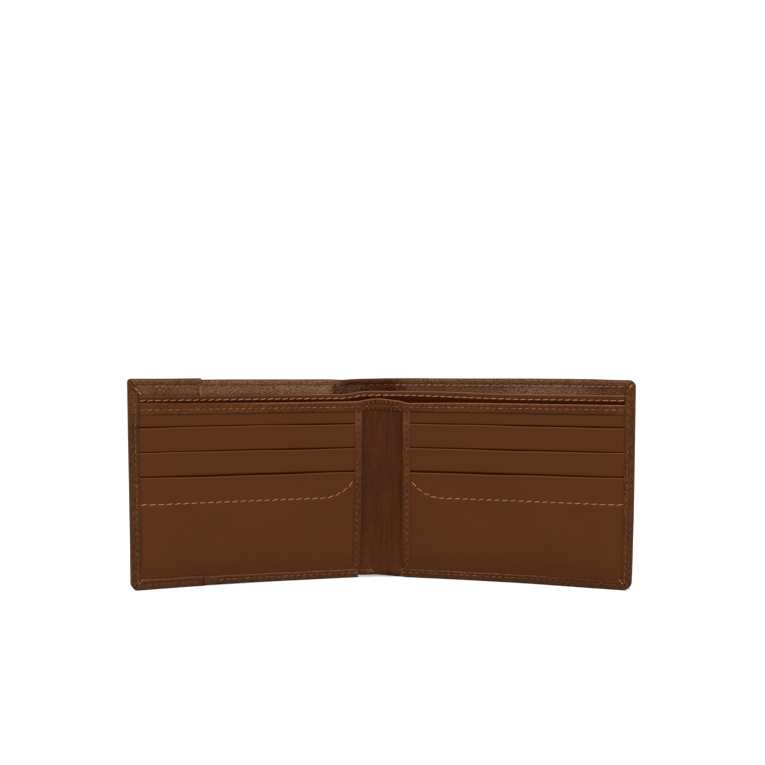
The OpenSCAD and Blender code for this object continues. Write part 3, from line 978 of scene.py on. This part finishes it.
def make_board(side):
    mesh = sheet(side, grid_lines(STRIP_FROM, LAYER_EDGE, 4.0), grid_lines(LAYER_LOW, 85.6, 5.0),
                 lambda u, z: depth(0.02, u, z) - gape(u, z), lambda u, z: depth(0.4, u, z) - gape(u, z))
    seat(mesh, side, "stiffener", BOARD, "board", "board")


def make_card_panel(side):
    def mark(u, z):
        # Painted shadow above the first pocket's mouth, and painted shade where the panel goes under the
        # band
        return painted_mouth_shadow(z, MOUTHS[0]) + 0.45 * ramp(z, BAND_BOTTOM - 0.7, BAND_BOTTOM)

    fine = (MOUTHS[0], MOUTHS[0] + 0.8, BAND_BOTTOM - 0.5)
    mesh = sheet(side, grid_lines(POCKET_FROM, LAYER_EDGE, 2.5),
                 grid_lines(LAYER_LOW, UNDER_BAND, 2.5, seams=fine), lambda u, z: depth(CARD[0], u, z),
                 lambda u, z: depth(CARD[1], u, z), shift=under_band(72), slide=slant, mark=mark)
    seat(mesh, side, "card_leather", POCKET_LEATHER, "pocket_leather", "card_panel")


def make_pocket(side, i):
    """Pocket i, counted from the back. The accent seam crosses the last one."""
    last = i == len(MOUTHS) - 1
    mouth, bottom = MOUTHS[i], max(POCKET_BOTTOMS[i], LAYER_LOW)
    seed = i + (4 if side == LEFT else 0)

    def opened(u, z):
        """The mouth stands a little away from the leather behind, most in the middle."""
        s = np.clip((np.abs(u) - HINGE_X - POCKET_START - STRIP_W) / (LAYER_END - 12), 0, 1)
        arch = np.sin(np.pi * s) ** 0.6 * (0.3 + 0.1 * np.sin(u * 0.05 + seed * 2.1))
        return arch * np.exp(-(mouth - z) / 7)

    def back(u, z):
        return depth(POCKETS[i][0], u, z) + opened(u, z)

    def front(u, z):
        out = depth(POCKETS[i][1], u, z) + opened(u, z) + 0.12 * hump(z, mouth - 0.55, 0.5)
        return out - groove(accent_distance(np.abs(u) - HINGE_X, z), 0.16, 0.34) if last else out

    def wave(u, z):
        out = 0.16 * np.sin(u * 0.055 + seed * 1.3) + 0.07 * np.sin(u * 0.17 + seed)
        return out * ramp(z, mouth - 12, mouth)

    def mark(u, z):
        # Painted highlight on the lip, painted shadow just above the next pocket's mouth, and dark needle
        # holes along the accent seam
        lip = painted_lip_highlight(z, mouth, 1.1 + 0.1 * np.sign(u), 0.42)
        if last:
            return lip + sewn(accent_distance(np.abs(u) - HINGE_X, z), 0.5)
        return lip + painted_mouth_shadow(z, MOUTHS[i + 1], 1.0, 0.9 + 0.5 * i)

    across = grid_lines(POCKET_FROM, LAYER_EDGE, 2.0)
    fine = (ACCENT_LOW,) if last else (MOUTHS[i + 1], MOUTHS[i + 1] + 0.8)
    upward = grid_lines(bottom, mouth, 2.2, seams=fine)
    if last:
        across = thin_out(np.concatenate([across, steps(HINGE_X + 6, HINGE_X + 21, 0.45)]), 0.03)
        upward = thin_out(np.concatenate([upward, steps(ACCENT_LOW, ACCENT_HIGH + 2, 0.35)]), 0.03)
    upward = thin_out(np.concatenate([upward, mouth - np.array([0.8, 1.1, 1.5])]), 0.03)
    mesh = sheet(side, across, upward, back, front, shift=wave, slide=slant, edge_round=0.36, mark=mark)
    seat(mesh, side, f"pocket_{i + 1}_leather", POCKET_LEATHER, "pocket_leather", f"pocket_{i + 1}")


def make_end_lining():
    """The separate lining behind the end panel, with its own joint."""
    def past_joint(u, near, far):
        return fall(np.abs(u) - HINGE_X - END_START, near, far)

    def front(u, z):
        return depth(LINING[1] + 0.3, u, z) + 0.15 * past_joint(u, -0.2, 1.0) - groove(z - HEM_SEAM)

    def mark(u, z):
        # Painted highlight along the joint's step, and painted shadow above the divider
        return -1.3 * past_joint(u, 0.0, 0.5) + painted_mouth_shadow(z, DIVIDER_TOP, 0.5, 1.1)

    mesh = sheet(LEFT, grid_lines(PANEL_EDGE - 0.5, LAYER_EDGE, 1.2), grid_lines(LAYER_LOW, 89.4, 1.5),
                 lambda u, z: depth(LINING[1] + 0.02, u, z), front, edge_round=0.3, mark=mark)
    seat(mesh, LEFT, "end_lining_leather", END_LINING_LEATHER, "lining_leather", "end_lining")


for side in (LEFT, RIGHT):
    make_lining(side)
    make_divider(side)
    make_inner(side)
    make_board(side)
    make_card_panel(side)
    for i in range(len(MOUTHS)):
        make_pocket(side, i)
make_end_lining()

# ---------------------------------------------------------------- band and edge strips

BAND_AT_SPINE = 2.35
BAND_FRONT = CARD[1] + 0.62
STRIP_SEAM = 1.4


def pleat(u):
    """How far the band stands out where it is gathered over the spine."""
    shape = 0.5 * np.abs(np.cos(np.pi * u / PLEAT_W)) ** 0.7
    return float(shape * fall(np.abs(u), HINGE_X - 1.2, HINGE_X + 1.0))


def band_section(side, a):
    """One section of the band, at a distance from the middle of the spine, as rows of (u, t, z, mark)."""
    u = side * a
    lift = band_lift(u)
    low = BAND_BOTTOM + lift * 0.6 + 0.08 * math.sin(a * 0.4)
    high = BAND_TOP + lift - float(band_sag(u))
    seam = low + (BAND_SEAM - BAND_BOTTOM)
    out = pleat(u)

    def at(z, spine_t=BAND_AT_SPINE, wing_t=BAND_FRONT):
        return float(level(spine_t, wing_t, u, z))

    behind = (1.98, CARD[1] + 0.02)
    over = at(high, 1.4, INNER[0])
    corners = [(at(low, *behind), low), (at(low) + out * 0.55, low), (at(low) + out, low + 0.9),
               (at(seam) + out, seam - 0.55), (at(seam) + out * 0.7 - 0.16, seam),
               (at(seam) + out, seam + 0.55), (at(high) + out * 0.8 + 0.08, high - 0.7),
               (at(high, 2.3) + out * 0.4, high), (over, high), (over, high - 0.6),
               (at(high, *behind), high - 0.6)]
    outline = rounded_section(corners, 0.3)
    z = outline[:, 1]
    gathers = fall(a, HINGE_X - 1.2, HINGE_X + 0.6) * (1 - abs(math.cos(math.pi * a / PLEAT_W)) ** 0.6)
    # Painted highlight on the top lip, dark needle holes along the seam, and painted shade between the
    # gathers at the top
    marks = painted_lip_highlight(z, high, 1 - 0.75 * float(ramp(-u, 40, 80)), 0.42) + sewn(z - seam)
    marks = marks + 0.9 * gathers * ramp(z, high - 0.2, high - 1.0)
    return np.column_stack([np.full(len(outline), u), outline, marks])


def make_band(side):
    along = thin_out(np.concatenate([steps(0, HINGE_X + 3, 0.2), steps(HINGE_X + 3, LAYER_EDGE, 1.5)]), 0.03)
    mesh = sweep(np.array([band_section(side, a) for a in along]))
    seat(mesh, side, "band_leather", TRIM_LEATHER, "trim_leather", "band", crossing=LAYERS)


def strip_section(side, z):
    """One section of the edge strip, at a height, as rows of (u, t, z, mark)."""
    wob = 0.06 * math.sin(z * 0.5 + side) + 0.04 * math.sin(z * 1.3)
    near, far, front = STRIP_FROM, STRIP_FROM + STRIP_W, STACK + 0.5
    corners = [(near + wob, CARD[0]), (near - 0.05 + wob, front), (far - 1.75, front + 0.02),
               (far - STRIP_SEAM, front - 0.14), (far - 1.05, front), (far + wob * 0.5, front - 0.1),
               (far + wob * 0.5, STACK + 0.03), (near + 0.7, STACK + 0.03), (near + 0.7, CARD[0])]
    outline = rounded_section(corners, 0.32)
    a = outline[:, 0]
    u = side * (a + slant(side, a, z))
    t = depth(strip_depth(outline[:, 1], z), u, z)
    return np.column_stack([u, t, np.full(len(a), z), sewn(a - far + STRIP_SEAM) - 0.27 * ramp(z, 56, 72)])


def make_strip(side):
    mesh = sweep(np.array([strip_section(side, z) for z in steps(3.3, BAND_BOTTOM - 0.02, 0.8)]))
    seat(mesh, side, "edge_strip_leather", TRIM_LEATHER, "trim_leather", "edge_strip")


for side in (LEFT, RIGHT):
    make_band(side)
    make_strip(side)

# ---------------------------------------------------------------- stitching

# Where the rings of points of a stitch lie, as shares of half its length, and how thick it is there
ALONG_STITCH = np.array([-0.94, -0.75, -0.4, 0.0, 0.4, 0.75, 0.94])
GIRTH = np.array([0.5, 0.85, 1.0, 1.03, 1.0, 0.85, 0.5])
ROUND_STITCH = np.linspace(0, 2 * np.pi, 9)[:-1]


class Stitches:
    """The stitches of one wing's length of a seam."""

    def __init__(self, side):
        self.side = side
        self.mesh = Mesh()

    def run(self, path, surface, radius, seed, pitch=STITCH_PITCH, length=2.5, slant_deg=12.0, outward=1,
            tones=(0.5, 1.0)):
        """Adds stitches along a path of (distance from the middle of the spine, height). surface gives the
        depth of the leather that they lie on."""
        rng = np.random.default_rng(seed)
        path = np.array(path, float) * [self.side, 1]
        run = np.concatenate([[0], np.cumsum(np.hypot(*np.diff(path, axis=0).T))])
        count = max(1, int(round(run[-1] / pitch)))

        def spot(at):
            return np.array([np.interp(at, run, path[:, j]) for j in (0, 1)])

        for i in range(count):
            at = (i + 0.5) * run[-1] / count
            half = length / 2 * (run[-1] / count / pitch) * rng.uniform(0.93, 1.03)
            ahead = spot(at + 0.3) - spot(at - 0.3)
            ahead /= np.linalg.norm(ahead)
            if ahead[0] < -0.2 or (abs(ahead[0]) <= 0.2 and ahead[1] < 0):
                ahead = -ahead
            turn = math.radians(slant_deg + rng.normal(0, 2.5))
            along = half * np.array([ahead[0] * math.cos(turn) - ahead[1] * math.sin(turn),
                                     ahead[0] * math.sin(turn) + ahead[1] * math.cos(turn)])
            size = radius * rng.uniform(0.92, 1.06)
            self.stitch(spot(at), along, size, radius, surface, outward, rng.uniform(*tones))

    def stitch(self, here, along, size, radius, surface, outward, tone):
        """Two strands laid together, whose ends go down into the leather. along is half the stitch."""
        m, k = self.mesh, ALONG_STITCH[:, None]
        half = np.linalg.norm(along)
        lay = 1 + 0.13 * np.cos(2 * ROUND_STITCH - 1.3 * k * half / radius)
        reach = size * GIRTH[:, None] * lay
        wide = reach * np.cos(ROUND_STITCH) / half
        u = here[0] + along[0] * k - along[1] * wide
        z = here[1] + along[1] * k + along[0] * wide
        middle = surface(here[0] + along[0] * ALONG_STITCH, here[1] + along[1] * ALONG_STITCH)[:, None]
        t = middle + outward * (0.1 - 0.3 * np.abs(k) ** 6 + 0.85 * reach * np.sin(ROUND_STITCH))
        rings = m.add(u, t, z, tone)
        m.quads(np.concatenate([rings, rings[:, :1]], axis=1))
        for end, ring in ((-1, rings[0]), (1, rings[-1])):
            u, z = (here + along * end)[:, None]
            tip = m.add(u, surface(u, z) - outward * 0.25, z, tone)[0]
            for a, b in zip(ring, np.roll(ring, -1)):
                m.face([a, b, tip])

    def outside(self, shell, path, seed):
        """A seam on the outside of a shell piece."""
        def surface(u, z):
            return shell.back - shell.lap(u, 0.62) + 0.1 + ripple(u, z) - gape(u, z)

        self.run(path, surface, 0.2, seed, outward=-1)

    def seat(self, name, node, **how):
        seat(self.mesh, self.side, f"{name}_stitches", THREAD, "thread", node, **how)


def flat_path(begin, end, z):
    return [(begin, z), (end, z)]


def panel_step(u, outer):
    """How much higher the end panel lies than the shell."""
    return outer.proud * ramp(np.abs(u), PANEL_EDGE, PANEL_EDGE + 0.2)


def border_stitches(side, outer, seam_edge):
    """Along the bottom and the outer edge, inside and outside, with short stitches where they turn."""
    def face(u, z):
        return depth(border_under(z) + BORDER_T + panel_step(u, outer) - 0.16, u, z)

    def corner_face(u, z):
        return depth(border_under(z) + BORDER_T + outer.proud, u, z)

    left = side == LEFT
    thread = Stitches(side)
    begin, low_end = HINGE_X + (3.0 if left else 0.9), seam_edge - 0.6
    middle = (begin + seam_edge) / 2 + (20 if left else 5)
    thread.run(flat_path(begin, middle, BOTTOM_SEAM), face, 0.14, 11, tones=(0.6, 1.1))
    thread.run(flat_path(middle, low_end, BOTTOM_SEAM), face, 0.13, 24, tones=(1.0, 1.6))
    thread.run([(seam_edge, BOTTOM_SEAM + 0.4), (seam_edge, WALLET_H - 6)], face, 0.13, 12,
               tones=(0.75, 1.0))
    foot = EDGE - (2.8 if left else 3.2)
    thread.run([(foot, 2.6), (foot - 1.9, 4.9)], face, 0.19, 20, pitch=1.6, length=1.4, tones=(0.0, 0.25))
    if left:
        thread.run([(EDGE - 2.9, WALLET_H - 3.0), (EDGE - 5.6, WALLET_H - 6.4)], corner_face, 0.19, 17,
                   pitch=2.2, length=2.1, tones=(0.0, 0.3))
        thread.outside(left_shell, flat_path(HINGE_X + 1, PANEL_EDGE - 0.6, BOTTOM_SEAM), 13)
        thread.outside(outer, flat_path(PANEL_EDGE + 3.2, low_end, BOTTOM_SEAM), 14)
    else:
        thread.run([(EDGE - 1.3, WALLET_H - 1.9), (EDGE - 2.8, WALLET_H - 3.4)], corner_face, 0.2, 19,
                   pitch=2.1, length=1.9, slant_deg=0, tones=(0.0, 0.1))
        thread.outside(outer, flat_path(HINGE_X + 1, low_end, BOTTOM_SEAM), 13)
    thread.outside(outer, [(seam_edge, BOTTOM_SEAM + 0.4), (seam_edge, WALLET_H - 3)], 15)
    thread.seat("border", "border_thread")


def backtack_stitches():
    """The doubled stitches at the foot of the spine, where the left border seam ends."""
    def face(u, z):
        return level(INNER_AT_SPINE[1], INNER[1], u, z) + 0.05

    thread = Stitches(LEFT)
    for begin, end, rise, seed in ((3.6, 7.6, 2.5, 16), (4.4, HINGE_X + 1.9, 3.2, 18)):
        thread.run([(begin, rise), (end, rise - 0.2)], face, 0.27, seed, length=1.9, pitch=2.0, slant_deg=20,
                   tones=(0.8, 1.2))
    thread.seat("backtack", "border_thread", crossing=LAYERS, on_spine=False)


def hem_stitches(side, outer, seam_edge):
    def face(u, z):
        return level(LINING_AT_SPINE[1], LINING[1] + 0.8 * panel_step(u, outer), u, z) - 0.1 - gape(u, z)

    left = side == LEFT
    thread = Stitches(side)
    # Over the fold the stitches are dulled as painted shade, like the lining there
    dim = HINGE_X + (10 if left else -3)
    thread.run(flat_path(0.2, dim, HEM_SEAM), face, 0.14, 25, tones=(0.8, 1.3))
    thread.run(flat_path(dim, seam_edge - 2.5, HEM_SEAM), face, 0.16, 21,
               tones=(0.4, 1.0) if left else (0.1, 0.6))
    if left:
        thread.outside(left_shell, flat_path(0.2, PANEL_EDGE - 0.6, HEM_SEAM), 22)
        thread.outside(outer, flat_path(PANEL_EDGE + 3.2, seam_edge - 0.6, HEM_SEAM), 23)
    else:
        thread.outside(outer, flat_path(0.2, seam_edge - 0.6, HEM_SEAM), 22)
    thread.seat("hem", "hem_thread", crossing=SHELL)


def divider_stitches(side):
    def face(u, z):
        return level(DIVIDER_AT_SPINE[1], DIVIDER[1], u, DIVIDER_SEAM) - 0.1 - 0.2 * ramp(np.abs(u), 14, 40)

    thread = Stitches(side)
    path = [(a, DIVIDER_SEAM + divider_lift(side * a) * ramp(DIVIDER_SEAM, 50, DIVIDER_TOP))
            for a in steps(0.2, LAYER_SEAM_END, 0.8)]
    thread.run(path, face, 0.19, 31, pitch=3.27, length=3.1, slant_deg=8 if side == LEFT else 4,
               tones=(0.0, 0.25))
    thread.seat("divider", "divider_thread", crossing=LAYERS)


def band_stitches(side):
    """The seam of the band, with one short stitch on each pleat over the spine."""
    def face(rise):
        return lambda u, z: level(BAND_AT_SPINE, BAND_FRONT, u, BAND_SEAM) + rise

    def path(begin, end, size):
        return [(a, BAND_SEAM + band_lift(side * a) * 0.6) for a in steps(begin, end, size)]

    thread = Stitches(side)
    thread.run(path(HINGE_X + 1.4, LAYER_SEAM_END, 0.8), face(-0.13), 0.16, 41,
               slant_deg=9 if side == LEFT else 4)
    thread.run(path(0, HINGE_X, 0.5), face(0.12), 0.2, 42, pitch=PLEAT_W, length=1.2)
    thread.seat("band", "band_thread", crossing=LAYERS)


def strip_stitches(side):
    def face(u, z):
        return depth(strip_depth(STACK + 0.42, z), u, z) - 0.04

    thread = Stitches(side)
    seam = STRIP_FROM + STRIP_W - STRIP_SEAM
    path = [(seam + float(slant(side, seam, z)), z) for z in steps(4.6, BAND_BOTTOM - 0.8, 1.5)]
    thread.run(path, face, 0.13, 51, length=2.3, tones=(0.75, 1.0))
    thread.seat("strip", "strip_thread")


def accent_stitches(side):
    thread = Stitches(side)
    path = [(HINGE_X + s + float(slant(side, HINGE_X + s, z)), z) for s, z in accent_path()]
    thread.run(path, lambda u, z: depth(STACK, u, z) - 0.12, 0.165, 61, pitch=3.57, length=3.4, slant_deg=7,
               tones=(0.0, 0.3))
    thread.seat("accent", "accent_thread")


LAYER_SEAM_END = EDGE - SIDE_BORDER - 0.4

for side in (LEFT, RIGHT):
    outer = end_panel if side == LEFT else right_shell
    border_stitches(side, outer, EDGE - SIDE_SEAM)
    if side == LEFT:
        backtack_stitches()
    hem_stitches(side, outer, EDGE - SIDE_SEAM)
    divider_stitches(side)
    band_stitches(side)
    strip_stitches(side)
    accent_stitches(side)

panel_thread = Stitches(LEFT)
panel_thread.outside(end_panel, [(HINGE_X + PANEL_SEAM, z) for z in (BOTTOM_SEAM + 1, WALLET_H - 2)], 71)
panel_thread.seat("end_panel", "end_panel_thread")

# ---------------------------------------------------------------- camera, floor and light

# The camera's place in millimetres: to the right, in front of the crease lines, and above the floor
VIEW_ACROSS = 0.27
VIEW_DISTANCE = 583.5
VIEW_HEIGHT = 103.0
LOOK_DOWN = 1.46
LENS = 60.66
FLOOR_HALF_M = 4.0


def make_camera():
    data = bpy.data.cameras.new("camera")
    data.sensor_width = 36.0
    data.lens = LENS
    camera = linked(bpy.data.objects.new("camera", data))
    camera.location = (VIEW_ACROSS * MM, (HINGE_Y - VIEW_DISTANCE) * MM, VIEW_HEIGHT * MM)
    camera.rotation_euler = (math.radians(90 - LOOK_DOWN), 0, 0)
    bpy.context.scene.camera = camera


def area_light(name, place_m, energy):
    """A large soft light that faces the middle of the wallet."""
    data = bpy.data.lights.new(name, "AREA")
    data.shape = "RECTANGLE"
    data.size, data.size_y = 0.6, 0.5
    data.energy = energy
    light = linked(bpy.data.objects.new(name, data))
    light.location = place_m
    direction = Vector((0, 0, WALLET_H / 2 * MM)) - Vector(place_m)
    light.rotation_euler = direction.to_track_quat("-Z", "Y").to_euler()


def make_floor():
    mesh = bpy.data.meshes.new("floor")
    corners = [(x * FLOOR_HALF_M, y * FLOOR_HALF_M, 0) for x, y in ((-1, -1), (1, -1), (1, 1), (-1, 1))]
    mesh.from_pydata(corners, [], [(0, 1, 2, 3)])
    look = {"Base Color": (0.97, 0.97, 0.97, 1), "Roughness": 0.8, "Specular IOR Level": 0.1}
    mesh.materials.append(Nodes("pale_floor").finish(look))
    floor = linked(bpy.data.objects.new("floor", mesh))


def make_studio():
    make_floor()
    world = bpy.data.worlds.new("studio")
    world.use_nodes = True
    background = world.node_tree.nodes["Background"]
    background.inputs["Color"].default_value = (1, 1, 1, 1)
    background.inputs["Strength"].default_value = 1.05
    bpy.context.scene.world = world
    area_light("key", (-0.35, -0.75, 0.75), 9.0)
    area_light("fill", (0.6, -0.7, 0.45), 5.0)
    bpy.context.scene.view_settings.view_transform = "Standard"


make_camera()
make_studio()
